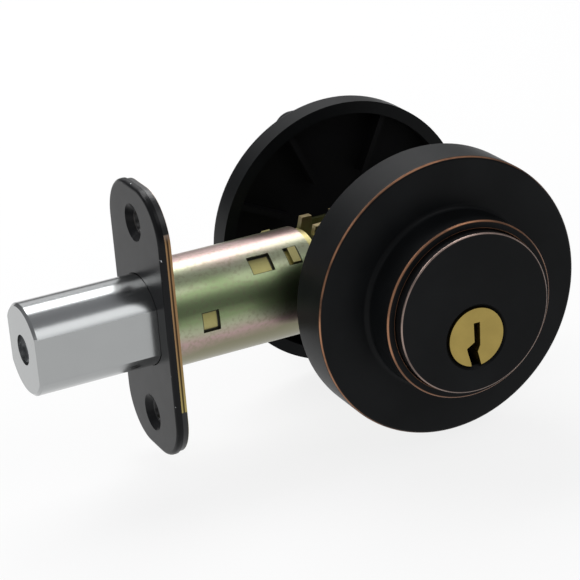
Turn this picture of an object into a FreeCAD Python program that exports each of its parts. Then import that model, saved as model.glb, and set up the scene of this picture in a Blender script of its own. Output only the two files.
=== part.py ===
import FreeCAD, Part
import Sketcher
import math
import os
import re

# A tubular deadbolt lock for a wooden door, in millimetres.
# The origin is the centre of the faceplate's outer face. +X runs along the bolt into the door,
# -Y is the key side, +Y is the room side and +Z is up. The lock is drawn locked, with its bolt out.

SIZES = [
    ("Backset", 55.0, "faceplate to the centre of the roses"),
    ("DoorThickness", 34.0, "gap between the two roses"),
    ("Throw", 25.4, "travel of the bolt"),
    ("SpindleDrop", 5.0, "plug and spindle axis below the bolt axis"),
    ("RunningGap", 0.06, "radial clearance of a turning fit"),
    ("SlideGap", 0.3, "clearance of a sliding or loose fit"),
    ("PlateWidth", 25.4, "faceplate width"),
    ("PlateHeight", 57.15, "faceplate height"),
    ("PlateCorner", 10.0, "faceplate corner radius"),
    ("PlateThickness", 1.3, "thickness of the faceplate and of the backplate"),
    ("PlateInset", 0.35, "backplate edge inside the faceplate edge"),
    ("PlateEdge", 0.8, "rounding of the faceplate's front edge"),
    ("ScrewSpacing", 41.3, "distance between the faceplate screws"),
    ("ScrewHole", 2.4, "radius of the faceplate screw holes"),
    ("ScrewDish", 3.9, "radius of the faceplate countersinks"),
    ("DishDepth", 1.5, "depth of the faceplate countersinks"),
    ("TubeRadius", 11.0, "outer radius of the bolt tube"),
    ("TubeWall", 0.7, "wall of the bolt tube"),
    ("TubeSetback", 20.0, "spindle axis to the end of the tube"),
    ("SleeveWall", 0.55, "wall of the inner sleeve"),
    ("SleeveStart", 4.2, "front end of the inner sleeve"),
    ("SleeveTail", 6.0, "inner sleeve beyond the end of the tube"),
    ("SleeveFit", 0.05, "inner sleeve inside the tube's bore"),
    ("NotchStart", 1.6, "end of the tube to the notch in the top of the sleeve"),
    ("TabProud", 0.25, "spring tabs of the sleeve above the tube"),
    ("BoltRadius", 9.4, "radius of the bolt's round top and bottom"),
    ("BoltHalfWidth", 8.1, "bolt axis to each flat side"),
    ("BoltChamfer", 0.55, "chamfer round the bolt's end"),
    ("InsertRadius", 3.1, "radius of the hardened insert"),
    ("InsertDepth", 14.0, "depth of the bore for the insert"),
    ("InsertRecess", 1.2, "insert below the end of the bolt"),
    ("CrankRadius", 16.0, "spindle axis to the drive pin"),
    ("DrivePin", 1.4, "radius of the drive pin"),
    ("ArmHalf", 2.0, "half the thickness of the crank arm"),
    ("ArmEye", 2.6, "radius of the arm round the drive pin"),
    ("SlotEase", 0.9, "drive slot wider than the pin on each side"),
    ("CarriageSheet", 1.5, "thickness of the carriage plates"),
    ("CarriageShelf", 2.0, "bolt axis to the lower edge of the carriage in the bolt"),
    ("CarriageFront", 1.2, "front end of the carriage"),
    ("CarriageRim", 2.2, "width of the carriage in front of the drive slot"),
    ("CarriageTail", 4.4, "width of the carriage behind the drive slot"),
    ("CarriageRivet", 1.5, "radius of the rivet through the bolt and the carriage"),
    ("RivetFromTail", 4.5, "that rivet to the bolt's rear end"),
    ("RivetRise", 3.0, "that rivet above the bolt axis"),
    ("RivetReach", 7.6, "that rivet's half length"),
    ("TieRadius", 0.95, "radius of the tie between the carriage plates"),
    ("TieEnd", 0.7, "radius of the tie's ends"),
    ("TieInset", 1.5, "tie to the carriage's rear edge"),
    ("TieDrop", 2.3, "tie below the bore in the door"),
    ("HubRadius", 5.6, "radius of the hub between the case plates"),
    ("JournalRadius", 4.6, "radius of the hub in the case plates"),
    ("CaseRadius", 12.7, "bore in the door that the bolt unit passes through"),
    ("CaseSheet", 1.0, "thickness of the case plates"),
    ("CaseTail", 23.0, "spindle axis to the rear end of the case"),
    ("CaseGap", 0.2, "case plates clear of the bolt's flats"),
    ("CaseTongue", 10.0, "length of the case plates' tongues in the sleeve"),
    ("ShoulderGap", 0.4, "sleeve to the case plates' shoulders"),
    ("RivetRadius", 1.6, "radius of the case rivets between the plates"),
    ("RivetStep", 0.6, "rivet ends thinner than the rivets"),
    ("RivetProud", 0.15, "rivet ends in front of the case plates"),
    ("RivetLow", 7.0, "lower rivets below the bolt axis"),
    ("RivetHigh", 3.0, "rear rivet above the bolt axis"),
    ("LeafSheet", 0.5, "thickness of the detent spring"),
    ("LeafHalf", 4.5, "half the width of the detent spring"),
    ("MountOffset", 17.0, "spindle axis to each mounting screw"),
    ("MountScrew", 2.1, "radius of the mounting screws"),
    ("MountHole", 2.6, "radius of the holes that the mounting screws pass"),
    ("TailWidth", 6.0, "width of the tailpiece"),
    ("TailSheet", 2.0, "thickness of the tailpiece"),
    ("TailEase", 0.15, "tailpiece's clearance in the hub"),
    ("RoseRadius", 29.1, "radius of both roses"),
    ("RoseDepth", 9.9, "depth of the exterior rose"),
    ("RoseWall", 2.0, "front wall of both roses"),
    ("RimWidth", 2.6, "width of the rim that bears on the door"),
    ("RoseEdge", 0.7, "rounding of the exterior rose's outer edge"),
    ("BossRadius", 18.45, "radius of the exterior rose's boss"),
    ("BossHeight", 7.85, "height of the boss above the rose"),
    ("BossFoot", 1.1, "fillet at the foot of the boss"),
    ("BossEdge", 0.45, "rounding of the boss's front edge"),
    ("CylinderRadius", 16.6, "radius of the lock cylinder's face"),
    ("CylinderProud", 2.1, "cylinder face in front of the boss"),
    ("FlangeRadius", 21.9, "radius of the housing's flange"),
    ("FlangeSheet", 2.5, "thickness of the housing's flange"),
    ("HousingRadius", 13.2, "radius of the housing behind the flange"),
    ("HousingBack", 11.5, "bolt axis to the back of the housing"),
    ("PostRadius", 3.2, "radius of the threaded posts"),
    ("PlugRadius", 6.1, "radius of the plug"),
    ("PlugRing", 0.75, "bevel of the housing round the plug"),
    ("FirstPin", 5.9, "plug face to the first pin"),
    ("PinPitch", 3.96, "distance between pins"),
    ("PinRadius", 1.4, "radius of the pins"),
    ("DriverLength", 4.5, "length of the driver pins"),
    ("ChamberTop", 16.4, "plug axis to the top of the pin chambers"),
    ("CoverHalf", 2.0, "half the width of the slot for the chamber cover"),
    ("CoverSheet", 0.95, "thickness of the chamber cover"),
    ("CapSheet", 1.0, "thickness of the cap on the plug's rear end"),
    ("CapScrew", 0.55, "radius of the cap's screws"),
    ("CapHead", 0.95, "radius of the cap screws' heads"),
    ("CapOffset", 5.3, "plug axis to each cap screw"),
    ("CapScrewDepth", 1.2, "depth of the cap screws' threads in the plug"),
    ("RecessDepth", 1.5, "depth of the recess for the tailpiece's head"),
    ("KeyEnd", 2.5, "rear end of the keyway in front of the plug's"),
    ("InteriorDepth", 6.2, "depth of the interior rose"),
    ("RoomEdge", 1.5, "rounding of the interior rose's outer edge"),
    ("RibSheet", 1.2, "thickness of the ribs inside the interior rose"),
    ("RibStart", 13.4, "rose axis to the inner end of each rib"),
    ("SpindleRadius", 4.2, "radius of the turn's spindle"),
    ("TurnHeight", 54.0, "height of the thumb turn"),
    ("TurnWidth", 10.4, "width of the thumb turn"),
    ("TurnReach", 17.3, "interior rose to the tip of the thumb turn"),
    ("TurnRound", 4.4, "rounding of the thumb turn's corners"),
    ("TurnBase", 9.2, "radius of the thumb turn's round base"),
    ("TurnBaseHeight", 3.4, "height of the thumb turn's base"),
    ("TurnGap", 0.15, "thumb turn's base in front of the interior rose"),
    ("GrooveDepth", 0.5, "depth of the groove for the retaining clip"),
    ("ClipLow", 2.6, "retaining clip's far side behind the rose's floor"),
    ("ClipHigh", 1.7, "retaining clip's near side behind the rose's floor"),
    ("ScrewSink", 2.0, "depth of the mounting screws' countersinks"),
    ("DriveHalf", 2.4, "half the length of the cross recess in the screws"),
    ("DriveSheet", 0.45, "half the width of the cross recess"),
]
PIN_COUNT = 5
RIB_ANGLES = [-65, -25, 25, 65, 155, 205]
KEY_PIN_LENGTHS = [4.6, 5.6, 3.9, 5.1, 4.3]

doc = FreeCAD.newDocument("DeadboltLock")
Vector = FreeCAD.Vector
sheet = doc.addObject("Spreadsheet::Sheet", "Sizes")
for row, (alias, number, meaning) in enumerate(SIZES, start=1):
    sheet.set(f"A{row}", meaning)
    sheet.set(f"B{row}", str(number))
    sheet.setAlias(f"B{row}", alias)
doc.recompute()

# Places worked out from the sizes, as expressions.
FACE_BACK = "(2 * PlateThickness)"
TUBE_END = "(Backset - TubeSetback)"
TUBE_BORE = "(TubeRadius - TubeWall)"
SLEEVE_OUTER = f"({TUBE_BORE} - SleeveFit)"
SLEEVE_BORE = f"({SLEEVE_OUTER} - SleeveWall)"
SLEEVE_END = f"({TUBE_END} + SleeveTail)"
SLEEVE_NOTCH = f"({TUBE_END} + NotchStart)"
BOLT_TAIL = "(Backset - MountOffset - MountHole - Throw)"
PIN_REST_X = "(-Throw / 2)"
PIN_REST_Z = "sqrt(CrankRadius ^ 2 - Throw ^ 2 / 4)"
CASE_INNER = "(BoltHalfWidth + CaseGap)"
CASE_OUTER = f"({CASE_INNER} + CaseSheet)"
CASE_HALF_HEIGHT = f"sqrt(CaseRadius ^ 2 - {CASE_OUTER} ^ 2)"
CARRIAGE_INNER = "(ArmHalf + SlideGap)"
CARRIAGE_OUTER = f"({CARRIAGE_INNER} + CarriageSheet)"
CARRIAGE_LOW = "(HubRadius - SpindleDrop + CaseGap + 2 * SlideGap)"
CARRIAGE_TOP = "(CaseRadius - 0.7)"
CARRIAGE_FRONT_TOP = f"(sqrt({SLEEVE_BORE} ^ 2 - {CARRIAGE_OUTER} ^ 2) - SlideGap)"
SLOT_FRONT = f"(Backset + {PIN_REST_X} - DrivePin - SlotEase)"
SLOT_REAR = f"(Backset + {PIN_REST_X} + DrivePin + SlotEase)"
CARRIAGE_REAR = f"({SLOT_REAR} + CarriageTail)"
CARRIAGE_RIVET = (f"{BOLT_TAIL} - RivetFromTail", "RivetRise")
CARRIAGE_TIE = (f"{CARRIAGE_REAR} - TieInset", "CaseRadius - TieDrop")
ROSE_BACK = "(-DoorThickness / 2)"
ROSE_FRONT = f"({ROSE_BACK} - RoseDepth)"
BOSS_FRONT = f"({ROSE_FRONT} - BossHeight)"
CYLINDER_FACE = f"({BOSS_FRONT} - CylinderProud)"
CAVITY_TOP = f"({ROSE_FRONT} + RoseWall)"
FLANGE_BACK = f"({CAVITY_TOP} + FlangeSheet)"
HOUSING_END = "(-HousingBack)"
ROOM_RIM = "(DoorThickness / 2)"
ROOM_FACE = f"({ROOM_RIM} + InteriorDepth)"
ROOM_FLOOR = f"({ROOM_FACE} - RoseWall)"
TURN_BACK = f"({ROOM_FACE} + TurnGap)"

HOME = ("0", "0", "0")
ROSE_FRAME = ("Backset", "0", "0")
SPINDLE_FRAME = ("Backset", "0", "-SpindleDrop")
ALONG = {
    "X": FreeCAD.Rotation(Vector(0, 1, 0), 90),
    "Y": FreeCAD.Rotation(Vector(1, 0, 0), -90),
    "Z": FreeCAD.Rotation(),
}
NODES = []


def linked(text):
    """Point every size name in an expression at the sheet."""
    return re.sub(r"\b([A-Z][A-Za-z]+)\b", r"Sizes.\1", text)


def amount(text):
    return float(sheet.evalExpression(linked(text)))


def place(thing, at):
    for letter, text in zip("xyz", at):
        thing.setExpression(f".Placement.Base.{letter}", linked(text))


def node(solid, label, frame=HOME):
    """Give a finished sub-part its name and its place in the lock."""
    solid.Label = label
    place(solid, frame)
    NODES.append(solid)


def rod(name, axis, radius, low, high, centre=("0", "0"), tip=None):
    """A round bar along an axis, or a cone if it has another radius at its high end."""
    solid = doc.addObject("Part::Cylinder" if tip is None else "Part::Cone", name)
    if tip is None:
        solid.setExpression("Radius", linked(radius))
    else:
        solid.setExpression("Radius1", linked(radius))
        solid.setExpression("Radius2", linked(tip))
    solid.setExpression("Height", linked(f"({high}) - ({low})"))
    solid.Placement = FreeCAD.Placement(Vector(), ALONG[axis])
    at = list(centre)
    at.insert("XYZ".index(axis), low)
    place(solid, at)
    return solid


def block(name, low, high):
    solid = doc.addObject("Part::Box", name)
    for side, start, end in zip(("Length", "Width", "Height"), low, high):
        solid.setExpression(side, linked(f"({end}) - ({start})"))
    place(solid, low)
    return solid


def fuse(name, solids):
    joined = doc.addObject("Part::MultiFuse", name)
    joined.Shapes = solids
    return joined


def cut(name, base, tools):
    result = doc.addObject("Part::Cut", name)
    result.Base = base
    result.Tool = tools[0] if len(tools) == 1 else fuse(name + "Tools", tools)
    return result


def group(name, solids):
    together = doc.addObject("Part::Compound", name)
    together.Links = solids
    return together


def ring(name, axis, outer, inner, low, high, centre=("0", "0")):
    bore = rod(name + "Bore", axis, inner, f"({low}) - 1", f"({high}) + 1", centre)
    return cut(name, rod(name + "Outer", axis, outer, low, high, centre), [bore])


def sketch_on(body, role, name, height="0"):
    """A sketch on one of the body's own origin planes, moved along that plane's normal."""
    sketch = body.newObject("Sketcher::SketchObject", name)
    plane = next(item for item in body.Origin.OriginFeatures if item.Role == role)
    sketch.AttachmentSupport = [(plane, "")]
    sketch.MapMode = "FlatFace"
    sketch.setExpression("AttachmentOffset.Base.z", linked(height))
    return sketch


def bind(sketch, kind, places, text):
    """Add a constraint whose size follows an expression."""
    index = sketch.addConstraint(Sketcher.Constraint(kind, *places, amount(text)))
    sketch.setExpression(f"Constraints[{index}]", linked(text))


def outline(sketch, corners):
    """A closed outline of straight lines through corners given as pairs of expressions."""
    points = [Vector(amount(across), amount(up), 0) for across, up in corners]
    count = len(points)
    for i in range(count):
        sketch.addGeometry(Part.LineSegment(points[i], points[(i + 1) % count]), False)
    for i in range(count):
        sketch.addConstraint(Sketcher.Constraint("Coincident", i, 2, (i + 1) % count, 1))
    for i, (across, up) in enumerate(corners):
        bind(sketch, "DistanceX", (-1, 1, i, 1), across)
        bind(sketch, "DistanceY", (-1, 1, i, 1), up)


def pad(body, sketch, length):
    feature = body.newObject("PartDesign::Pad", body.Name + "Pad")
    feature.Profile = sketch
    feature.setExpression("Length", linked(length))
    body.Tip = feature
    return body


def padded(name, role, corners, low, high):
    """A flat piece from its outline; XZ outlines run from low to high along Y, YZ ones along X."""
    body = doc.addObject("PartDesign::Body", name)
    start = low if role == "YZ_Plane" else f"-({high})"
    sketch = sketch_on(body, role, name + "Outline", start)
    outline(sketch, corners)
    return pad(body, sketch, f"({high}) - ({low})")


def turned(name, corners):
    """A body of revolution about Y from its half section, given as radius and Y."""
    body = doc.addObject("PartDesign::Body", name)
    sketch = sketch_on(body, "XY_Plane", name + "Section")
    outline(sketch, corners)
    feature = body.newObject("PartDesign::Revolution", name + "Turned")
    feature.Profile = sketch
    feature.ReferenceAxis = (sketch, ["V_Axis"])
    feature.Angle = 360
    body.Tip = feature
    return body


def double_d(name, radius, half_width, low, high):
    """A bar along X with a round top and bottom and two flat sides."""
    body = doc.addObject("PartDesign::Body", name)
    sketch = sketch_on(body, "YZ_Plane", name + "Section", low)
    size = amount(radius)
    side = amount(half_width)
    height = math.sqrt(size ** 2 - side ** 2)
    angle = math.acos(side / size)
    circle = Part.Circle(Vector(), Vector(0, 0, 1), size)
    sketch.addGeometry(Part.ArcOfCircle(circle, angle, math.pi - angle), False)
    sketch.addGeometry(Part.LineSegment(Vector(-side, height, 0), Vector(-side, -height, 0)), False)
    sketch.addGeometry(Part.ArcOfCircle(circle, math.pi + angle, 2 * math.pi - angle), False)
    sketch.addGeometry(Part.LineSegment(Vector(side, -height, 0), Vector(side, height, 0)), False)
    for i in range(4):
        sketch.addConstraint(Sketcher.Constraint("Coincident", i, 2, (i + 1) % 4, 1))
    for arc in (0, 2):
        sketch.addConstraint(Sketcher.Constraint("Coincident", arc, 3, -1, 1))
    sketch.addConstraint(Sketcher.Constraint("Vertical", 1))
    bind(sketch, "Radius", (0,), radius)
    bind(sketch, "DistanceX", (-1, 1, 3, 1), half_width)
    bind(sketch, "DistanceX", (1, 1, -1, 1), half_width)
    sketch.addConstraint(Sketcher.Constraint("Vertical", 3))
    return pad(body, sketch, f"({high}) - ({low})")


def dress(body, kind, size, chosen):
    """Add a Fillet or a Chamfer on the edges of the body's tip that a test picks."""
    doc.recompute()
    base = body.Tip
    names = [f"Edge{i}" for i, edge in enumerate(base.Shape.Edges, start=1) if chosen(edge)]
    if not names:
        raise RuntimeError(f"{body.Name}: no edge found for its {kind}")
    feature = body.newObject("PartDesign::" + kind, f"{body.Name}{kind}")
    feature.Base = (base, names)
    feature.setExpression("Radius" if kind == "Fillet" else "Size", linked(size))
    body.Tip = feature
    return body


def circle_at(radius, y):
    """Test for a round edge about the Y axis, at a radius and a Y."""
    def chosen(edge):
        if not isinstance(edge.Curve, Part.Circle):
            return False
        right_size = abs(edge.Curve.Radius - amount(radius)) < 1e-4
        return right_size and abs(edge.Curve.Center.y - amount(y)) < 1e-4
    return chosen


def in_plane(letter, place_text):
    """Test for an edge that lies in a plane across one axis."""
    def chosen(edge):
        low = getattr(edge.BoundBox, letter + "Min")
        high = getattr(edge.BoundBox, letter + "Max")
        return abs(low - amount(place_text)) < 1e-3 and abs(high - amount(place_text)) < 1e-3
    return chosen


def runs_along(letter):
    """Test for a straight edge along an axis."""
    def chosen(edge):
        if not isinstance(edge.Curve, Part.Line):
            return False
        return abs(abs(getattr(edge.Curve.Direction, letter)) - 1) < 1e-6
    return chosen


# ---------------------------------------------------------------- bolt unit, fixed pieces

def plate_blank(name, inset, low, high):
    """A plate across X with rounded corners."""
    across = f"(PlateWidth / 2 - {inset})"
    up = f"(PlateHeight / 2 - {inset})"
    corners = [(across, up), (f"-{across}", up), (f"-{across}", f"-{up}"), (across, f"-{up}")]
    body = padded(name, "YZ_Plane", corners, low, high)
    return dress(body, "Fillet", f"PlateCorner - {inset}", runs_along("x"))


def plate_screw_cuts(name):
    """The two countersunk screw holes, cut through both plates."""
    tools = []
    for side in ("-", ""):
        centre = ("0", f"{side}ScrewSpacing / 2")
        tools.append(rod(f"{name}Hole", "X", "ScrewHole", "-1", f"{FACE_BACK} + 1", centre))
        tools.append(rod(f"{name}Dish", "X", "ScrewDish", "0", "DishDepth", centre, tip="ScrewHole"))
        tools.append(rod(f"{name}Mouth", "X", "ScrewDish", "-1", "0", centre))
    return tools


def make_faceplate():
    blank = plate_blank("FaceplateBlank", "0", "0", "PlateThickness")
    dress(blank, "Fillet", "PlateEdge", in_plane("X", "0"))
    opening = double_d("FaceplateOpening", "BoltRadius + SlideGap / 2", "BoltHalfWidth + SlideGap / 2",
                       "-1", "PlateThickness + 1")
    node(cut("Faceplate", blank, [opening] + plate_screw_cuts("Faceplate")), "faceplate")


def make_backplate():
    blank = plate_blank("BackplateBlank", "PlateInset", "PlateThickness", FACE_BACK)
    opening = double_d("BackplateOpening", "BoltRadius + SlideGap / 2", "BoltHalfWidth + SlideGap / 2",
                       "0", f"{FACE_BACK} + 1")
    node(cut("Backplate", blank, [opening] + plate_screw_cuts("Backplate")), "backplate")


def window(name, angle, start, length, width, low, high):
    """A block that cuts a window in the tube, turned about the bolt axis from the top."""
    holder = block(name, (start, f"-{width} / 2", low), (f"{start} + {length}", f"{width} / 2", high))
    turned_block = doc.addObject("Part::Compound", name + "Turned")
    turned_block.Links = [holder]
    turned_block.Placement = FreeCAD.Placement(Vector(), FreeCAD.Rotation(Vector(1, 0, 0), angle))
    return turned_block


# Windows on each side of the tube: name, degrees from the top, front end, length and width.
WINDOWS = [("Front", 86, f"({FACE_BACK} + 5.7)", "3.75", "4.2"),
           ("Rear", 39.5, f"({TUBE_END} - 13.9)", "4.9", "4.1"),
           ("Latch", 39.0, f"({TUBE_END} - 5.8)", "3.0", "4.1")]
WINDOW_REACH = 2


def make_bolt_tube():
    tube = ring("TubeWallRing", "X", "TubeRadius", TUBE_BORE, FACE_BACK, TUBE_END)
    tools = []
    for side in (1, -1):
        for name, angle, start, length, width in WINDOWS:
            low = f"({TUBE_BORE} - {WINDOW_REACH})"
            high = f"TubeRadius + {WINDOW_REACH}"
            tools.append(window(f"{name}Window", side * angle, start, length, width, low, high))
    node(cut("BoltTube", tube, tools), "bolt_tube")


def make_inner_sleeve():
    sleeve = ring("SleeveRing", "X", SLEEVE_OUTER, SLEEVE_BORE, "SleeveStart", SLEEVE_END)
    tabs = []
    for side in (1, -1):
        name, angle, start, length, width = WINDOWS[2]
        low = f"({SLEEVE_BORE} + SleeveWall / 2)"
        tab = window(f"{name}Tab", side * angle, f"({start} + 3 * SlideGap)", f"({length} - 4 * SlideGap)",
                     f"({width} - 2 * SlideGap)", low, "(TubeRadius + TabProud)")
        tabs.append(tab)
    gap = f"({CARRIAGE_OUTER} + SlideGap)"
    notch = block("SleeveNotch", (SLEEVE_NOTCH, f"-{gap}", "0"), (f"{SLEEVE_END} + 1", gap, "TubeRadius"))
    screw = rod("SleeveScrewHole", "Y", "MountHole", "-TubeRadius", "TubeRadius",
                ("Backset - MountOffset", "-SpindleDrop"))
    node(cut("InnerSleeve", fuse("SleeveWithTabs", [sleeve] + tabs), [notch, screw]), "inner_sleeve")


RIVET_PLACES = [("(Backset + CaseTail - RivetRadius - SlideGap)", "RivetHigh"),
                ("(Backset + MountOffset / 2)", "-RivetLow"),
                ("(Backset - MountOffset / 2)", "-RivetLow")]
RIVET_END = "(RivetRadius - RivetStep)"


def make_case_plates():
    """Two side plates that carry the hub; their tongues run into the sleeve beside the bolt."""
    tongue = f"(sqrt({SLEEVE_BORE} ^ 2 - {CASE_OUTER} ^ 2) - 2 * SleeveFit)"
    front = f"({SLEEVE_END} - CaseTongue)"
    shoulder = f"({SLEEVE_END} + ShoulderGap)"
    tail = "(Backset + CaseTail)"
    height = CASE_HALF_HEIGHT
    corners = [(front, tongue), (front, f"-{tongue}"), (shoulder, f"-{tongue}"),
               (shoulder, f"-{height}"), (tail, f"-{height}"), (tail, height), (shoulder, height),
               (shoulder, tongue)]
    for label, low, high in (("near", f"-{CASE_OUTER}", f"-{CASE_INNER}"), ("far", CASE_INNER, CASE_OUTER)):
        name = "CasePlate" + label.capitalize()
        blank = padded(name + "Blank", "XZ_Plane", corners, low, high)
        tools = [rod(name + "Journal", "Y", "JournalRadius + RunningGap", f"{low} - 1", f"{high} + 1",
                     ("Backset", "-SpindleDrop")),
                 rod(name + "Screw", "Y", "MountHole", f"{low} - 1", f"{high} + 1",
                     ("Backset + MountOffset", "-SpindleDrop"))]
        for place_x, place_z in RIVET_PLACES:
            tools.append(rod(name + "Rivet", "Y", RIVET_END, f"{low} - 1", f"{high} + 1", (place_x, place_z)))
        node(cut(name, blank, tools), f"case_plate_{label}")


def make_case_rivets():
    reach = f"({CASE_OUTER} + RivetProud)"
    rivets = []
    for place_x, place_z in RIVET_PLACES:
        body = rod("RivetBody", "Y", "RivetRadius", f"-{CASE_INNER}", CASE_INNER, (place_x, place_z))
        end = rod("RivetEnd", "Y", RIVET_END, f"-{reach}", reach, (place_x, place_z))
        rivets.append(fuse("CaseRivet", [body, end]))
    node(group("CaseRivets", rivets), "case_rivets")


def make_detent_spring():
    """A leaf spring under the hub, with its ends turned up against the lower rivets."""
    low = "(-SpindleDrop - HubRadius - SlideGap - LeafSheet)"
    rivet_under = "(-RivetLow - RivetRadius)"
    left = "(Backset - MountOffset / 2)"
    right = "(Backset + MountOffset / 2)"
    leaf = block("DetentLeaf", (left, "-LeafHalf", low), (right, "LeafHalf", f"{low} + LeafSheet"))
    ends = []
    for side in (left, f"{right} - LeafSheet"):
        corner = (f"{side} + LeafSheet", "LeafHalf", rivet_under)
        ends.append(block("DetentEnd", (side, "-LeafHalf", low), corner))
    node(fuse("DetentSpring", [leaf] + ends), "detent_spring")


# ---------------------------------------------------------------- bolt unit, moving pieces

def make_bolt():
    bar = double_d("BoltBar", "BoltRadius", "BoltHalfWidth", "-Throw", BOLT_TAIL)
    dress(bar, "Chamfer", "BoltChamfer", in_plane("X", "-Throw"))
    insert_bore = rod("BoltInsertBore", "X", "InsertRadius", "-Throw - 1", "InsertDepth - Throw")
    half = f"({CARRIAGE_OUTER} + SleeveFit)"
    low = ("CarriageFront - CaseGap", f"-{half}", "-CarriageShelf - CaseGap")
    pocket = block("BoltPocket", low, (f"{BOLT_TAIL} + 1", half, "BoltRadius + 1"))
    rivet = rod("BoltRivetHole", "Y", "CarriageRivet", "-BoltRadius", "BoltRadius", CARRIAGE_RIVET)
    node(cut("Bolt", bar, [insert_bore, pocket, rivet]), "bolt")
    start = "(InsertRecess - Throw)"
    pin = rod("InsertPin", "X", "InsertRadius", start, "InsertDepth - Throw")
    dimple = rod("InsertDimple", "X", "InsertRadius * 0.55", start, f"{start} + 1.5", tip="0.2")
    node(cut("HardenedInsert", pin, [dimple]), "hardened_insert")


def make_carriage():
    """Two plates from the bolt to the drive slot, open above so that the pin can rise in it."""
    front = "CarriageFront"
    shelf = "-CarriageShelf"
    ramp = f"({BOLT_TAIL} + CarriageShelf)"
    floor = f"({CARRIAGE_LOW} + 4 * SlideGap)"
    wall = f"({SLOT_FRONT} - CarriageRim)"
    corners = [(front, shelf), (BOLT_TAIL, shelf), (ramp, CARRIAGE_LOW), (CARRIAGE_REAR, CARRIAGE_LOW),
               (CARRIAGE_REAR, CARRIAGE_TOP), (SLOT_REAR, CARRIAGE_TOP),
               (SLOT_REAR, floor), (SLOT_FRONT, floor),
               (SLOT_FRONT, CARRIAGE_TOP), (wall, CARRIAGE_TOP),
               (f"({SLEEVE_NOTCH} + SlideGap)", CARRIAGE_FRONT_TOP), (front, CARRIAGE_FRONT_TOP)]
    plates = []
    for low, high in ((f"-{CARRIAGE_OUTER}", f"-{CARRIAGE_INNER}"), (CARRIAGE_INNER, CARRIAGE_OUTER)):
        blank = padded("CarriagePlate", "XZ_Plane", corners, low, high)
        holes = [rod("CarriageRivetHole", "Y", "CarriageRivet", f"{low} - 1", f"{high} + 1", CARRIAGE_RIVET),
                 rod("CarriageTieHole", "Y", "TieEnd", f"{low} - 1", f"{high} + 1", CARRIAGE_TIE)]
        plates.append(cut("CarriageSide", blank, holes))
    node(group("Carriage", plates), "bolt_carriage")
    rivet = rod("CarriageRivetBar", "Y", "CarriageRivet", "-RivetReach", "RivetReach", CARRIAGE_RIVET)
    tie_body = rod("TieBody", "Y", "TieRadius", f"-{CARRIAGE_INNER}", CARRIAGE_INNER, CARRIAGE_TIE)
    tie_end = rod("TieEndBar", "Y", "TieEnd", f"-{CARRIAGE_OUTER}", CARRIAGE_OUTER, CARRIAGE_TIE)
    node(group("CarriageRivets", [rivet, fuse("CarriageTie", [tie_body, tie_end])]), "carriage_rivets")


def make_hub():
    """The hub, with its crank arm towards the drive pin, and the pin."""
    reach = f"({CASE_INNER} - SlideGap / 2)"
    collar = rod("HubCollar", "Y", "HubRadius", f"-{reach}", reach)
    journal = rod("HubJournal", "Y", "JournalRadius", f"-{CASE_OUTER}", CASE_OUTER)
    eye = rod("ArmEyeDisc", "Y", "ArmEye", "-ArmHalf", "ArmHalf", (PIN_REST_X, PIN_REST_Z))
    side_x = f"(ArmEye * {PIN_REST_Z} / CrankRadius)"
    side_z = "(ArmEye * Throw / 2 / CrankRadius)"
    corners = [(side_x, side_z), (f"{PIN_REST_X} + {side_x}", f"{PIN_REST_Z} + {side_z}"),
               (f"{PIN_REST_X} - {side_x}", f"{PIN_REST_Z} - {side_z}"), (f"-{side_x}", f"-{side_z}")]
    arm = padded("ArmShank", "XZ_Plane", corners, "-ArmHalf", "ArmHalf")
    slot = block("HubSlot", ("-TailSheet / 2 - TailEase", f"-{CASE_OUTER} - 1", "-TailWidth / 2 - TailEase"),
                 ("TailSheet / 2 + TailEase", f"{CASE_OUTER} + 1", "TailWidth / 2 + TailEase"))
    pin_hole = rod("DrivePinHole", "Y", "DrivePin", "-ArmHalf - 1", "ArmHalf + 1", (PIN_REST_X, PIN_REST_Z))
    blank = fuse("HubWithArm", [collar, journal, eye, arm])
    node(cut("HubCam", blank, [slot, pin_hole]), "hub_cam", SPINDLE_FRAME)
    pin_end = f"({CARRIAGE_OUTER} - 2 * SleeveFit)"
    pin = rod("DrivePinBar", "Y", "DrivePin", f"-{pin_end}", pin_end, (PIN_REST_X, PIN_REST_Z))
    node(group("DrivePinSolid", [pin]), "drive_pin", SPINDLE_FRAME)


# ---------------------------------------------------------------- key side

def make_exterior_rose():
    inner = "(CylinderRadius + SlideGap / 2)"
    cavity = "(RoseRadius - RimWidth)"
    section = [(cavity, ROSE_BACK), ("RoseRadius", ROSE_BACK), ("RoseRadius", ROSE_FRONT),
               ("BossRadius", ROSE_FRONT), ("BossRadius", BOSS_FRONT), (inner, BOSS_FRONT),
               (inner, CAVITY_TOP), (cavity, CAVITY_TOP)]
    rose = turned("ExteriorRose", section)
    dress(rose, "Fillet", "RoseEdge", circle_at("RoseRadius", ROSE_FRONT))
    dress(rose, "Fillet", "BossFoot", circle_at("BossRadius", ROSE_FRONT))
    dress(rose, "Fillet", "BossEdge", circle_at("BossRadius", BOSS_FRONT))
    dress(rose, "Chamfer", "BossEdge / 2", circle_at(inner, BOSS_FRONT))
    node(rose, "exterior_rose", ROSE_FRAME)


def pin_places():
    """Y of each pin chamber, from the first behind the plug's face."""
    return [f"({CYLINDER_FACE} + FirstPin + {i} * PinPitch)" for i in range(PIN_COUNT)]


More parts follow.
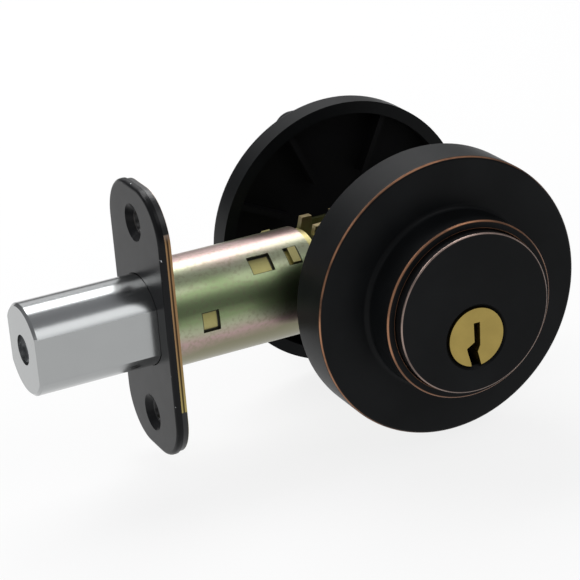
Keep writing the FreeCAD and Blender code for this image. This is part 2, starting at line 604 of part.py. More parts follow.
def make_cylinder_housing():
    face = rod("HousingFace", "Y", "CylinderRadius", CYLINDER_FACE, FLANGE_BACK, ("0", "SpindleDrop"))
    flange = rod("HousingFlange", "Y", "FlangeRadius", CAVITY_TOP, FLANGE_BACK, ("0", "SpindleDrop"))
    rear = rod("HousingRear", "Y", "HousingRadius", FLANGE_BACK, HOUSING_END, ("0", "SpindleDrop"))
    posts = []
    tools = [rod("PlugBore", "Y", "PlugRadius + RunningGap", f"{CYLINDER_FACE} - 1", f"{HOUSING_END} + 1"),
             rod("PlugBevel", "Y", "PlugRadius + RunningGap + PlugRing", CYLINDER_FACE,
                 f"{CYLINDER_FACE} + PlugRing", tip="PlugRadius + RunningGap")]
    for side in ("-", ""):
        centre = (f"{side}MountOffset", "0")
        posts.append(rod("Post", "Y", "PostRadius", FLANGE_BACK, HOUSING_END, centre))
        tools.append(rod("PostThread", "Y", "MountScrew", f"{FLANGE_BACK} + 1", f"{HOUSING_END} + 1", centre))
    for y in pin_places():
        tools.append(rod("Chamber", "Z", "PinRadius + RunningGap", "0", "ChamberTop", ("0", y)))
    cover_front = f"({pin_places()[0]} - PinRadius - CoverSheet)"
    tools.append(block("CoverSlot", ("-CoverHalf", f"{cover_front} - SleeveFit", "ChamberTop"),
                       ("CoverHalf", f"{HOUSING_END} + 1", "ChamberTop + CoverSheet + SleeveFit")))
    blank = fuse("HousingBlank", [face, flange, rear] + posts)
    node(cut("CylinderHousing", blank, tools), "cylinder_housing", SPINDLE_FRAME)
    cover = block("CoverStrip", ("SleeveFit - CoverHalf", cover_front, "ChamberTop + SleeveFit / 2"),
                  ("CoverHalf - SleeveFit", HOUSING_END, "ChamberTop + CoverSheet"))
    node(group("ChamberCover", [cover]), "chamber_cover", SPINDLE_FRAME)


# The keyway's outline across the plug, as X and Z from the plug's axis.
KEYWAY = [("-0.45", "3.0"), ("0.85", "3.0"), ("0.75", "-1.8"), ("0.15", "-3.1"), ("1.05", "-PlugRadius - 1"),
          ("-1.35", "-PlugRadius - 1"), ("-1.5", "-5"), ("-2.1", "-2.7"), ("-2.2", "-2.0"), ("-0.45", "-1.0")]


TAIL_HEAD = "(TailWidth / 2 + TailSheet * 0.7)"


def make_plug():
    """The plug, with the cap that holds it in the housing and the cap's two screws."""
    bar = rod("PlugBar", "Y", "PlugRadius", CYLINDER_FACE, HOUSING_END)
    keyway = padded("Keyway", "XZ_Plane", KEYWAY, f"{CYLINDER_FACE} - 1", f"{HOUSING_END} - KeyEnd")
    recess = rod("PlugRecess", "Y", f"{TAIL_HEAD} + CaseGap", f"{HOUSING_END} - RecessDepth",
                 f"{HOUSING_END} + 1")
    tools = [keyway, recess]
    for y in pin_places():
        tools.append(rod("PlugChamber", "Z", "PinRadius + RunningGap", "0", "PlugRadius + 1", ("0", y)))
    for side in ("-", ""):
        tools.append(rod("CapThread", "Y", "CapScrew", f"{HOUSING_END} - CapScrewDepth", f"{HOUSING_END} + 1",
                         (f"{side}CapOffset", "0")))
    node(cut("CylinderPlug", bar, tools), "cylinder_plug", SPINDLE_FRAME)
    cap_face = f"({HOUSING_END} + CapSheet)"
    disc = rod("CapDisc", "Y", "PlugRadius + 0.7", HOUSING_END, cap_face)
    holes = [rod("CapHole", "Y", "TailWidth / 2 + 0.4", f"{HOUSING_END} - 1", f"{cap_face} + 1")]
    screws = []
    for side in ("-", ""):
        centre = (f"{side}CapOffset", "0")
        holes.append(rod("CapScrewHole", "Y", "CapScrew", f"{HOUSING_END} - 1", f"{cap_face} + 1", centre))
        head = rod("CapScrewHead", "Y", "CapHead", cap_face, f"{cap_face} + CapSheet / 2", centre)
        shank_end = f"{HOUSING_END} - CapScrewDepth + SleeveFit"
        shank = rod("CapScrewShank", "Y", "CapScrew", shank_end, cap_face, centre)
        screws.append(fuse("CapScrew", [head, shank]))
    node(cut("PlugCap", disc, holes), "plug_cap", SPINDLE_FRAME)
    node(group("CapScrews", screws), "cap_screws", SPINDLE_FRAME)


def make_pins():
    """Key pins in the plug, driver pins and springs above the shear line."""
    shear_low = "(sqrt(PlugRadius ^ 2 - PinRadius ^ 2) - 0.02)"
    shear_high = "(PlugRadius + RunningGap + 0.04)"
    driver_top = f"({shear_high} + DriverLength)"
    key_pins = []
    drivers = []
    springs = []
    for y, length in zip(pin_places(), KEY_PIN_LENGTHS):
        shank = rod("KeyPinShank", "Z", "PinRadius", f"{shear_low} - {length - 1}", shear_low, ("0", y))
        point = rod("KeyPinPoint", "Z", "0.5", f"{shear_low} - {length}", f"{shear_low} - {length - 1}",
                    ("0", y), tip="PinRadius")
        key_pins.append(fuse("KeyPin", [shank, point]))
        drivers.append(rod("DriverPin", "Z", "PinRadius", shear_high, driver_top, ("0", y)))
        springs.append(ring("PinSpring", "Z", "PinRadius - SleeveFit", "PinRadius / 2", driver_top,
                            "ChamberTop", ("0", y)))
    node(group("KeyPins", key_pins), "key_pins", SPINDLE_FRAME)
    node(group("DriverPins", drivers), "driver_pins", SPINDLE_FRAME)
    node(group("PinSprings", springs), "pin_springs", SPINDLE_FRAME)


def make_tailpiece():
    """The flat bar from the plug through the hub into the thumb turn, upright when locked."""
    head_back = f"({HOUSING_END} - RecessDepth + TailEase)"
    bar = block("TailBar", ("-TailSheet / 2", head_back, "-TailWidth / 2"),
                ("TailSheet / 2", f"{ROOM_FACE} - 1", "TailWidth / 2"))
    head = rod("TailHead", "Y", TAIL_HEAD, head_back, f"{HOUSING_END} - TailEase")
    node(fuse("Tailpiece", [bar, head]), "tailpiece", SPINDLE_FRAME)


# ---------------------------------------------------------------- room side

def make_interior_rose():
    cavity = "(RoseRadius - RimWidth)"
    section = [("0", ROOM_FLOOR), (cavity, ROOM_FLOOR), (cavity, ROOM_RIM), ("RoseRadius", ROOM_RIM),
               ("RoseRadius", ROOM_FACE), ("0", ROOM_FACE)]
    dish = turned("InteriorDish", section)
    dress(dish, "Fillet", "RoomEdge", circle_at("RoseRadius", ROOM_FACE))
    low = "-SpindleDrop"
    boss = rod("SpindleBoss", "Y", "SpindleRadius + 4", f"{ROOM_FLOOR} - 0.5", ROOM_FACE, ("0", low))
    pieces = [dish, boss]
    tools = [rod("SpindleBore", "Y", "SpindleRadius + RunningGap", ROOM_RIM, f"{ROOM_FACE} + 1", ("0", low))]
    for side in ("-", ""):
        centre = (f"{side}MountOffset", low)
        pieces.append(rod("ScrewBoss", "Y", "MountHole + 2", f"{ROOM_RIM} + 0.4", ROOM_FACE, centre))
        tools.append(rod("ScrewBore", "Y", "MountScrew + 0.2", f"{ROOM_RIM} - 1", f"{ROOM_FACE} + 1", centre))
        tools.append(rod("ScrewSinkCone", "Y", "MountScrew + 0.2", f"{ROOM_FACE} - ScrewSink", ROOM_FACE,
                         centre, tip="MountScrew + ScrewSink + 0.2"))
    for angle in RIB_ANGLES:
        rib = block("DishRib", ("-RibSheet / 2", f"{ROOM_RIM} + 1", "RibStart"),
                    ("RibSheet / 2", f"{ROOM_FLOOR} + RoseWall / 2", "RoseRadius - RimWidth / 2"))
        spoke = group("DishSpoke", [rib])
        spoke.Placement = FreeCAD.Placement(Vector(), FreeCAD.Rotation(Vector(0, 1, 0), angle))
        pieces.append(spoke)
    node(cut("InteriorRose", fuse("InteriorBlank", pieces), tools), "interior_rose", ROSE_FRAME)


def make_thumbturn():
    """A rounded upright paddle on a round base, with a hollow spindle for the tailpiece."""
    half = "(TurnWidth / 2)"
    up = "(TurnHeight / 2)"
    tip = f"({ROOM_FACE} + TurnReach)"
    corners = [(half, up), (f"-{half}", up), (f"-{half}", f"-{up}"), (half, f"-{up}")]
    paddle = padded("TurnPaddle", "XZ_Plane", corners, f"{TURN_BACK} + TurnBaseHeight - 1", tip)
    dress(paddle, "Fillet", "TurnRound", runs_along("y"))
    dress(paddle, "Fillet", "TurnRound / 2", in_plane("Y", tip))
    base_face = f"({TURN_BACK} + TurnBaseHeight)"
    section = [("0", TURN_BACK), ("TurnBase", TURN_BACK), ("TurnBase", base_face), ("0", base_face)]
    base = turned("TurnBaseDisc", section)
    dress(base, "Fillet", "TurnRound / 4", circle_at("TurnBase", base_face))
    spindle = rod("TurnSpindle", "Y", "SpindleRadius", f"{ROOM_RIM} + 0.8", f"{TURN_BACK} + 1")
    slot = block("TurnSlot", ("-TailSheet / 2 - TailEase", ROOM_RIM, "-TailWidth / 2 - TailEase"),
                 ("TailSheet / 2 + TailEase", f"{ROOM_FACE} - 0.5", "TailWidth / 2 + TailEase"))
    clip_bore = "(SpindleRadius - GrooveDepth)"
    clip_low = f"({ROOM_FLOOR} - ClipLow)"
    clip_high = f"({ROOM_FLOOR} - ClipHigh)"
    groove = ring("TurnGroove", "Y", "SpindleRadius + 1", clip_bore, clip_low, clip_high)
    blank = fuse("TurnBlank", [paddle, base, spindle])
    node(cut("ThumbTurn", blank, [slot, groove]), "thumbturn", SPINDLE_FRAME)
    clip = ring("ClipRing", "Y", "SpindleRadius + 1.6", clip_bore, clip_low, clip_high)
    mouth = block("ClipMouth", ("-1.2", ROOM_RIM, "0"), ("1.2", ROOM_FLOOR, "SpindleRadius + 3"))
    node(cut("RetainingClip", clip, [mouth]), "retaining_clip", SPINDLE_FRAME)
    washer = ring("WasherRing", "Y", "SpindleRadius + 3", "SpindleRadius + SlideGap", f"{ROOM_FLOOR} - 1.5",
                  f"{ROOM_FLOOR} - 0.5")
    node(group("TurnWasher", [washer]), "turn_washer", SPINDLE_FRAME)


def make_mounting_screws():
    """Two countersunk screws from the room side, through the bolt case, into the posts."""
    screws = []
    for side in ("-", ""):
        centre = (f"{side}MountOffset", "0")
        shank = rod("MountShank", "Y", "MountScrew", f"{HOUSING_END} - 6", f"{ROOM_FACE} - 1.5", centre)
        head = rod("MountHead", "Y", "MountScrew", f"{ROOM_FACE} - ScrewSink", f"{ROOM_FACE} - 0.1", centre,
                   tip="MountScrew + ScrewSink - 0.1")
        drive = []
        for wide, tall in (("DriveSheet", "DriveHalf"), ("DriveHalf", "DriveSheet")):
            low = (f"{side}MountOffset - {wide}", f"{ROOM_FACE} - ScrewSink * 0.6", f"-{tall}")
            high = (f"{side}MountOffset + {wide}", f"{ROOM_FACE} + 1", tall)
            drive.append(block("MountDrive", low, high))
        screws.append(cut("MountScrewSolid", fuse("MountScrewBlank", [shank, head]), drive))
    node(group("MountingScrews", screws), "mounting_screws", SPINDLE_FRAME)


make_faceplate()
make_backplate()
make_bolt_tube()
make_inner_sleeve()
make_case_plates()
make_case_rivets()
make_detent_spring()
make_bolt()
make_carriage()
make_hub()
make_exterior_rose()
make_cylinder_housing()
make_plug()
make_pins()
make_tailpiece()
make_interior_rose()
make_thumbturn()
make_mounting_screws()
doc.recompute()

for thing in doc.Objects:
    if "Invalid" in thing.State or "Error" in thing.State:
        raise RuntimeError(f"{thing.Name} ({thing.Label}) failed: {thing.State}")
os.makedirs("parts", exist_ok=True)
for solid in NODES:
    shape = solid.Shape
    if shape.isNull() or not shape.isValid() or not shape.Solids:
        raise RuntimeError(f"{solid.Label} has no valid solid")
    shape.exportStep(f"parts/{solid.Label}.step")
    print(f"{solid.Label}: {len(shape.Solids)} solids, {shape.Volume:.0f} mm3")
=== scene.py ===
"""A tubular deadbolt lock: the visible pieces, their finishes and the studio that shows them."""
import math

import bmesh
import bpy
from mathutils import Matrix, Vector


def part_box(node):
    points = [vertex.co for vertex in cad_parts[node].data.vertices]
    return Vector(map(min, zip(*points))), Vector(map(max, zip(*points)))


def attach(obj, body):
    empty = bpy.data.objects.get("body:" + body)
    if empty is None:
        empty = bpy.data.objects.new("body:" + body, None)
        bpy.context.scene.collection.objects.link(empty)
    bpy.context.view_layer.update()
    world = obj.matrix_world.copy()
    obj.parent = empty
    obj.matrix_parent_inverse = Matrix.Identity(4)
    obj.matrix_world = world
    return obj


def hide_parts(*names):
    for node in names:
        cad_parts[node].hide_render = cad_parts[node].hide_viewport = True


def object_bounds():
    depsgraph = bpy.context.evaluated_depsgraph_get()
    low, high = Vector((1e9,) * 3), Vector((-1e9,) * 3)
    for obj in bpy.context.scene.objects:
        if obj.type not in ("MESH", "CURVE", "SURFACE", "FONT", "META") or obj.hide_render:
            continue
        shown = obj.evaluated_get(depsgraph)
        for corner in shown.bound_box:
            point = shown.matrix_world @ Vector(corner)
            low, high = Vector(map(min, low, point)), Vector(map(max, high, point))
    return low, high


bl_info = {
    "name": "Deadbolt Lock",
    "version": (1, 0, 0),
    "blender": (4, 5, 0),
    "location": "3D View > Sidebar > Deadbolt",
    "description": "Builds the visible pieces of a tubular deadbolt lock, its finishes and its studio",
    "category": "Add Mesh",
}

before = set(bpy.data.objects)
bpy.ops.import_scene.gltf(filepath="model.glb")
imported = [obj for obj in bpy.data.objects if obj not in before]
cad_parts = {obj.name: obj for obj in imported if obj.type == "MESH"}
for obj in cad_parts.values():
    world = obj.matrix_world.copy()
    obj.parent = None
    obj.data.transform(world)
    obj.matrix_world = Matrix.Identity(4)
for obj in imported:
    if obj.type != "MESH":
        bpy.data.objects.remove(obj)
CAD_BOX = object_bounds()
MM = 0.001
ALONG_Y = Vector((0, 1, 0))
TURN_STEPS = 144
ARC_SEGMENTS = 6
BEVEL_SEGMENTS = 3
PIN_COUNT = 5
COIL_STEPS = 14
WIRE_SIDES = 8
KEY_SEGMENTS = 2
SHARP = math.radians(28)
JOIN = 0.001 * MM
ON_FACE = 0.01 * MM
LINE_CORE = 0.45
FACE_WEIGHT = 60
# How far the dish's painted shade reaches past the interior rose's rim, and stays off its front.
DISH_MARGIN = 1.0 * MM
DISH_SKIN = 0.5 * MM

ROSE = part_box("exterior_rose")
ROOM_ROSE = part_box("interior_rose")
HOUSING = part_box("cylinder_housing")
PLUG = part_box("cylinder_plug")
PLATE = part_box("faceplate")
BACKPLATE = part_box("backplate")
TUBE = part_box("bolt_tube")
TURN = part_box("thumbturn")
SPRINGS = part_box("pin_springs")
ROSE_AXIS = Vector(((ROSE[0].x + ROSE[1].x) / 2, 0, (ROSE[0].z + ROSE[1].z) / 2))
PLUG_AXIS = Vector(((PLUG[0].x + PLUG[1].x) / 2, 0, (PLUG[0].z + PLUG[1].z) / 2))
ROSE_RADIUS = (ROSE[1].x - ROSE[0].x) / 2
PLATE_HALF = (PLATE[1] - PLATE[0]) / 2
# Windows on each side of the tube: front end, length, degrees from the top and width.
WINDOWS = [(BACKPLATE[1].x + 5.7 * MM, 3.75 * MM, 86, 4.2 * MM),
           (TUBE[1].x - 13.9 * MM, 4.9 * MM, 39.5, 4.1 * MM),
           (TUBE[1].x - 5.8 * MM, 3.0 * MM, 39.0, 4.1 * MM)]


def length(name, description, default):
    """A length that the user can change, in metres."""
    return bpy.props.FloatProperty(name=name, description=description, default=default,
                                   subtype="DISTANCE", unit="LENGTH", precision=5)


def tint(name, description, default):
    """A colour that the user can change."""
    return bpy.props.FloatVectorProperty(name=name, description=description, default=default,
                                         subtype="COLOR", size=3, min=0.0, max=1.0)


def amount(name, description, default):
    """A plain number that the user can change."""
    return bpy.props.FloatProperty(name=name, description=description, default=default)


def angle(name, description, default):
    """An angle that the user can change, given in degrees."""
    return bpy.props.FloatProperty(name=name, description=description,
                                   default=math.radians(default), subtype="ANGLE", unit="ROTATION")


class DeadboltSizes(bpy.types.PropertyGroup):
    """Sizes of the pieces that are made here."""
    rose_depth: length("Rose Depth", "Depth of the exterior rose", 9.9 * MM)
    rose_wall: length("Rose Wall", "Front wall of both roses", 2.0 * MM)
    rim_width: length("Rim Width", "Width of the rims that bear on the door", 2.6 * MM)
    rose_edge: length("Rose Edge", "Rounding of the roses' outer edge", 0.7 * MM)
    boss_radius: length("Boss Radius", "Radius of the exterior rose's boss", 18.45 * MM)
    boss_foot: length("Boss Foot", "Fillet at the foot of the boss", 1.1 * MM)
    boss_edge: length("Boss Edge", "Rounding of the boss's front edge", 0.45 * MM)
    face_radius: length("Face Radius", "Radius of the lock cylinder's face", 16.6 * MM)
    face_gap: length("Face Gap", "Gap round the lock cylinder's face", 0.15 * MM)
    rim_edge: length("Rim Edge", "Rounding of the rose's edge at the door", 0.3 * MM)
    bore_edge: length("Bore Edge", "Rounding of the boss's inner edge", 0.22 * MM)
    cavity_round: length("Cavity Round", "Fillet inside the exterior rose", 0.5 * MM)
    face_edge: length("Face Edge", "Rounding of the cylinder face's edge", 0.3 * MM)
    key_bevel: length("Keyway Bevel", "Bevel round the keyway's mouth", 0.14 * MM)
    plug_rim: length("Plug Rim", "Rim of the plug that the keyway's bevel leaves alone", 0.4 * MM)
    wear_width: length("Wear Width", "Half the width of a worn edge line", 0.30 * MM)
    screw_spacing: length("Screw Spacing", "Distance between the faceplate screws", 41.3 * MM)
    spring_wire: length("Spring Wire", "Radius of the pin springs' wire", 0.16 * MM)
    spring_turns: bpy.props.IntProperty(name="Spring Turns", description="Turns in each pin spring",
                                        default=7, min=2)


class DeadboltColours(bpy.types.PropertyGroup):
    """Colours of the finishes."""
    bronze: tint("Dark Bronze", "Painted dark bronze", (0.0050, 0.0055, 0.0060))
    plate_black: tint("Faceplate Black", "Semi-gloss black of the faceplate", (0.0060, 0.0062, 0.0070))
    # The dish colour is painted shade: darker than the bronze of the same piece.
    dish: tint("Dish", "Inside of the interior rose", (0.0022, 0.0022, 0.0026))
    copper: tint("Copper", "Copper that shows where the bronze is worn", (0.40, 0.20, 0.115))
    face_line: tint("Face Line", "Pale copper of the cylinder face's edge", (0.36, 0.27, 0.235))
    zinc: tint("Yellow Zinc", "Yellow chromated zinc", (0.37, 0.39, 0.27))
    zinc_green: tint("Zinc Green", "Green cast of the chromate", (0.225, 0.290, 0.150))
    zinc_pink: tint("Zinc Pink", "Pink cast of the chromate", (0.42, 0.30, 0.285))
    zinc_olive: tint("Zinc Olive", "Dull olive of the chromate", (0.23, 0.22, 0.145))
    zinc_gold: tint("Zinc Gold", "Golden chromate in the corners", (0.42, 0.36, 0.13))
    strip: tint("Plate Strip", "Tan edge of the backplate", (0.29, 0.175, 0.085))
    chrome: tint("Chrome", "Bright chrome of the bolt", (0.375, 0.385, 0.385))
    brass: tint("Brass", "Satin brass of the plug", (0.38, 0.285, 0.085))
    steel: tint("Steel", "Plain zinc plated steel", (0.46, 0.47, 0.49))
    spring: tint("Spring Steel", "Oiled spring steel", (0.30, 0.31, 0.34))
    casting: tint("Zinc Casting", "Cast zinc of the hub", (0.33, 0.33, 0.32))


class DeadboltStudio(bpy.types.PropertyGroup):
    """The camera, the lights and the floor."""
    camera_place: bpy.props.FloatVectorProperty(
        name="Camera", description="Place of the camera", subtype="XYZ", unit="LENGTH",
        default=(-0.14316, -0.37773, 0.17281))
    azimuth: angle("Azimuth", "Direction of the camera round the lock", -24.97)
    elevation: angle("Elevation", "Height of the camera above the horizon", 22.76)
    roll: angle("Roll", "Turn of the camera about its own axis", -4.43)
    focal: amount("Focal Length", "Focal length in millimetres on a 36 mm sensor", 136.55)
    floor_drop: length("Floor Drop", "Gap between the lock and the floor", 0.0)
    floor_colour: tint("Floor", "Colour of the floor", (0.12, 0.12, 0.12))
    floor_glow: amount("Floor Glow", "Even light from the floor", 0.84)
    sky_top: tint("Sky Top", "Colour of the sky overhead", (0.95, 0.96, 1.0))
    sky_low: tint("Sky Low", "Colour of the sky at the horizon", (0.42, 0.42, 0.43))
    sky_power: amount("Sky Power", "Strength of the sky", 0.40)


def sizes():
    return bpy.context.scene.deadbolt_sizes


def colours():
    return bpy.context.scene.deadbolt_colours


def studio():
    return bpy.context.scene.deadbolt_studio


# ---------------------------------------------------------------- shader maths

class Link:
    """A shader socket that arithmetic can be written with."""

    def __init__(self, finish, socket):
        self.finish = finish
        self.socket = socket

    def maths(self, operation, *values):
        inputs = dict(enumerate(values))
        return self.finish.node("ShaderNodeMath", {"operation": operation}, inputs)

    def __add__(self, other):
        return self.maths("ADD", self, other)

    def __radd__(self, other):
        return self.maths("ADD", other, self)

    def __sub__(self, other):
        return self.maths("SUBTRACT", self, other)

    def __rsub__(self, other):
        return self.maths("SUBTRACT", other, self)

    def __mul__(self, other):
        return self.maths("MULTIPLY", self, other)

    def __rmul__(self, other):
        return self.maths("MULTIPLY", other, self)

    def __abs__(self):
        return self.maths("ABSOLUTE", self)

    def maximum(self, other):
        return self.maths("MAXIMUM", self, other)


class Finish:
    """One material and the nodes that make it."""

    def __init__(self, name):
        self.material = bpy.data.materials.new(name)
        self.material.use_nodes = True
        self.tree = self.material.node_tree
        self.shader = self.tree.nodes["Principled BSDF"]
        self.place = self.node("ShaderNodeTexCoord", {}, {}, "Object")

    def node(self, kind, settings, values, output=0):
        """Add a node: its settings, then its socket values or links. Gives one of its outputs."""
        made = self.tree.nodes.new(kind)
        for key, value in settings.items():
            if key == "stops":
                self.stops(made.color_ramp, value)
            else:
                setattr(made, key, value)
        for key, value in values.items():
            self.feed(made.inputs[key], value)
        return Link(self, made.outputs[output])

    def stops(self, ramp, stops):
        while len(ramp.elements) < len(stops):
            ramp.elements.new(1.0)
        for element, (position, colour) in zip(ramp.elements, stops):
            element.position = position
            element.color = (*colour, 1.0)

    def feed(self, socket, value):
        if isinstance(value, Link):
            self.tree.links.new(value.socket, socket)
        elif socket.type == "RGBA":
            socket.default_value = (*value, 1.0)
        else:
            socket.default_value = value

    def give(self, **values):
        """Set or link the shader's own sockets; an underscore stands for a space."""
        for key, value in values.items():
            self.feed(self.shader.inputs[key.replace("_", " ")], value)

    def axes(self):
        return [self.node("ShaderNodeSeparateXYZ", {}, {0: self.place}, i) for i in range(3)]

    def stretched(self, scale):
        return self.node("ShaderNodeMapping", {}, {"Vector": self.place, "Scale": scale})

    def noise(self, scale, detail=3.0, vector=None):
        return self.node("ShaderNodeTexNoise", {}, {
            "Vector": vector or self.place, "Scale": scale, "Detail": detail})

    def step(self, value, low, high):
        """0 below low, 1 above high and smooth between."""
        return self.node("ShaderNodeMapRange", {"interpolation_type": "SMOOTHSTEP"}, {
            "Value": value, "From Min": low, "From Max": high})

    def line(self, value, centre, half_width):
        """1 on a line where value is centre, fading to 0 at half_width from it."""
        return 1 - self.step(abs(value - centre), half_width * LINE_CORE, half_width)

    def blend(self, factor, first, second):
        return self.node("ShaderNodeMix", {"data_type": "RGBA"}, {0: factor, 6: first, 7: second}, 2)

    def bump(self, height, distance, strength=1.0):
        self.give(Normal=self.node("ShaderNodeBump", {}, {
            "Height": height, "Distance": distance, "Strength": strength}))

    def radius_from(self, axis):
        """Distance from a line along Y."""
        x, _, z = self.axes()
        across = x - axis.x
        up = z - axis.z
        return self.node("ShaderNodeMath", {"operation": "SQRT"}, {0: across * across + up * up})


def wear_noise(finish):
    """How far the bronze is rubbed through along an edge, uneven like a hand's touch."""
    return finish.step(finish.noise(scale=140.0, detail=4.0), 0.30, 0.62)


def upper_left_highlight(finish, axis):
    """More copper at the upper left, viewed from the key side, and little at the lower right: a painted
    highlight where the light falls on the worn edges.
    """
    x, _, z = finish.axes()
    toward = (z - axis.z) * 0.75 - (x - axis.x) * 0.66
    return 0.12 + 0.88 * finish.step(toward, -0.75 * ROSE_RADIUS, 0.65 * ROSE_RADIUS)


def bronze_ground(finish, colour):
    """Satin painted ground with a fine grain and faint cloudiness."""
    cloud = finish.noise(scale=60.0, detail=4.0)
    grain = finish.noise(scale=2600.0, detail=2.0)
    lighter = tuple(min(1.0, part * 1.5 + 0.001) for part in colour)
    ground = finish.blend(finish.step(cloud, 0.35, 0.75), tuple(colour), lighter)
    finish.bump(grain, distance=0.02 * MM, strength=0.35)
    return ground, 0.30 + 0.12 * cloud + 0.05 * grain


def worn_bronze(finish, ground, roughness, mask, copper):
    """The painted ground with copper showing where the mask says."""
    finish.give(Base_Color=finish.blend(mask, ground, copper), Metallic=mask * 0.95,
                Roughness=roughness - mask * 0.08, Specular_IOR_Level=0.07)
    return finish.material


def rose_finish(name, axis, edges, copper):
    """Dark bronze with a worn line on each turned edge, given as radius, Y, half width and strength; the
    lines are also made brighter toward the upper left as a painted highlight.
    """
    finish = Finish(name)
    ground, roughness = bronze_ground(finish, colours().bronze)
    from_axis = finish.radius_from(axis)
    along = finish.axes()[1]
    # Wear noise times a painted highlight that brightens the copper toward the upper left.
    worn = wear_noise(finish) * upper_left_highlight(finish, axis)
    mask = None
    for radius, y, half_width, strength in edges:
        near = finish.line(from_axis, radius, half_width) * finish.line(along, y, half_width)
        near = near * (strength + (1 - strength) * worn)
        mask = near if mask is None else mask.maximum(near)
    return worn_bronze(finish, ground, roughness, mask, copper)


def dish_shade_finish():
    """Deep black, slightly rough inside of the interior rose: painted shade in the hollow of the dish."""
    finish = Finish("bronze_dish_shade")
    cloud = finish.noise(scale=160.0, detail=4.0)
    dark = tuple(colours().dish)
    finish.give(Base_Color=finish.blend(cloud, dark, tuple(part * 1.9 for part in dark)),
                Roughness=0.62 + 0.2 * cloud, Specular_IOR_Level=0.10)
    finish.bump(cloud, distance=0.06 * MM, strength=0.4)
    return finish.material


def turn_finish():
    """Dark bronze, a little rubbed at the thumb turn's tip."""
    finish = Finish("bronze_turn")
    ground, roughness = bronze_ground(finish, colours().bronze)
    along = finish.axes()[1]
    tip = finish.step(along, TURN[1].y - 1.6 * MM, TURN[1].y - 0.2 * MM)
    rubbed = finish.step(finish.noise(scale=260.0, detail=5.0), 0.66, 0.80)
    return worn_bronze(finish, ground, roughness, tip * rubbed * 0.3, tuple(colours().copper))


def faceplate_finish():
    """Semi-gloss black with a few pale metal chips on the rounded edge: partly worn paint, partly painted
    glints.
    """
    finish = Finish("plate_black")
    ground, _ = bronze_ground(finish, colours().plate_black)
    _, across, up = finish.axes()
    side = finish.step(abs(across), PLATE_HALF.y - 0.9 * MM, PLATE_HALF.y - 0.25 * MM)
    end = finish.step(abs(up), PLATE_HALF.z - 0.9 * MM, PLATE_HALF.z - 0.25 * MM)
    # Pale steel chips on the edge, partly wear and partly painted glints.
    nicks_and_glints = finish.step(finish.noise(scale=700.0, detail=2.0), 0.71, 0.74)
    cloud = finish.noise(scale=220.0, detail=3.0)
    edge = side.maximum(end)
    finish.give(Base_Color=finish.blend(edge * nicks_and_glints, ground, tuple(colours().steel)),
                Metallic=edge * nicks_and_glints * 0.9, Roughness=0.25 + 0.1 * cloud, Specular_IOR_Level=0.13)
    return finish.material


def zinc_colour(finish, gold):
    """Chromated zinc: pink, green and pale casts laid in stripes by height, drifting a little along the
    piece; the stripes by height are partly the chromate's own tints and partly painted reflection.
    """
    drift = finish.noise(scale=110.0, detail=3.0, vector=finish.stretched((0.30, 1.0, 1.0)))
    cloud = finish.noise(scale=95.0, detail=5.0, vector=finish.stretched((0.5, 1.0, 1.0)))
    speckle = finish.noise(scale=1300.0, detail=4.0)
    up = finish.axes()[2]
    # Height picks the tint: painted reflections of the lights and floor laid over the chromate's own
    # colours.
    height = up * (0.5 / TUBE[1].z) + 0.5 + (drift - 0.5) * 0.34 + (cloud - 0.5) * 0.16
    pale, green, pink, olive = (tuple(tone) for tone in (
        colours().zinc, colours().zinc_green, colours().zinc_pink, colours().zinc_olive))
    tints_and_painted_reflections = finish.node("ShaderNodeValToRGB", {"stops": [
        (0.02, olive), (0.20, olive), (0.33, pink), (0.46, pale), (0.58, green),
        (0.84, green), (0.92, pale), (1.00, pink)]}, {0: height})
    rubbed = finish.blend(finish.step(speckle, 0.46, 0.68) * 0.45, tints_and_painted_reflections, olive)
    return finish.blend(gold, rubbed, tuple(colours().zinc_gold)), speckle, cloud


def zinc_finish(name, gold=0.0, rough=0.24):
    """Chromated zinc, from banded to plain gold, on a finely pitted surface."""
    finish = Finish(name)
    colour, speckle, cloud = zinc_colour(finish, gold)
    finish.give(Base_Color=colour, Metallic=1.0, Roughness=rough + 0.10 * cloud + 0.06 * speckle)
    finish.bump(speckle, distance=0.03 * MM, strength=0.30)
    return finish.material


def sleeve_finish():
    """Golden chromate that shows in the tube's windows, with painted shade in the gaps round their edges.
    """
    finish = Finish("zinc_sleeve")
    colour, speckle, cloud = zinc_colour(finish, 0.75)
    x, y, z = finish.axes()
    turn = finish.node("ShaderNodeMath", {"operation": "ARCTAN2"}, {0: abs(y), 1: z})
    clear_of_painted_shade = finish.step(x, TUBE[1].x - 0.3 * MM, TUBE[1].x)
    for start, span, middle, width in WINDOWS:
        half = width / 2 / TUBE[1].z
        near = finish.step(x, start + 0.30 * MM, start + 0.55 * MM) \
            * (1 - finish.step(x, start + span - 0.50 * MM, start + span - 0.25 * MM)) \
            * (1 - finish.step(abs(turn - math.radians(middle)), half * 0.78, half * 0.92))
        clear_of_painted_shade = clear_of_painted_shade.maximum(near)
    # Painted shade: the sleeve is near black wherever it is not clear inside a window or at its rear end,
    # so the window edges look like shaded gaps.
    finish.give(Base_Color=finish.blend(clear_of_painted_shade, (0.012, 0.011, 0.008), colour), Metallic=0.15 + 0.85 * clear_of_painted_shade,
                Roughness=0.34 + 0.10 * cloud + 0.06 * speckle)
    finish.bump(speckle, distance=0.04 * MM, strength=0.45)
    return finish.material


# How far short of the plate's top and bottom the tan edge stops, and how sharply; beyond it the corners
# take painted shade.
STRIP_TOP = 7.4 * MM
STRIP_LOW = 12.4 * MM
STRIP_FADE = 0.3 * MM
# Between these distances from a screw's axis the painted shade of its hole fades.
HOLE_SHADE = (2.5 * MM, 2.9 * MM)
SEAM_HALF = 0.26 * MM


